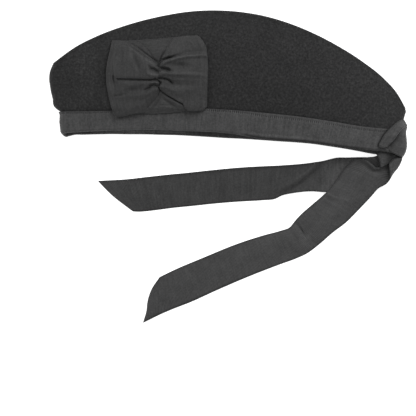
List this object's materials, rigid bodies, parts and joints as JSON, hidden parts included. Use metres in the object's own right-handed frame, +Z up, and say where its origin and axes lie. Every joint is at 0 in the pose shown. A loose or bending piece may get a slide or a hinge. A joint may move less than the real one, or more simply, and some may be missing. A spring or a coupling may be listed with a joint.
{
  "type": "glengarry cap",
  "caption": "Plain wool glengarry cap lying flat on its side, with a folded-in top, ribbon-bound rim, gathered ribbon cockade and ribbon tails from a knot at the back.",
  "frame": {"origin": "on the surface the cap lies on, under the middle of the whole object's box", "axes": "+X from the cap's front to its back; +Y from the rim towards the top edge; +Z up from the surface, out of the cap's left side"},
  "size_m": [0.3148, 0.2748, 0.0357],
  "materials": {
    "wool": "milled wool cloth, matt, with a short nap",
    "grosgrain": "ribbed grosgrain ribbon, slight sheen"
  },
  "bodies": {
    "root": {"left_side": "wool", "right_side": "wool", "crown_top": "wool", "band": "grosgrain", "cockade_back": "grosgrain", "cockade_bow": "grosgrain", "knot_wrap": "grosgrain", "knot_core": "grosgrain", "tail_upper": "grosgrain", "tail_lower": "grosgrain"}
  },
  "joints": []
}
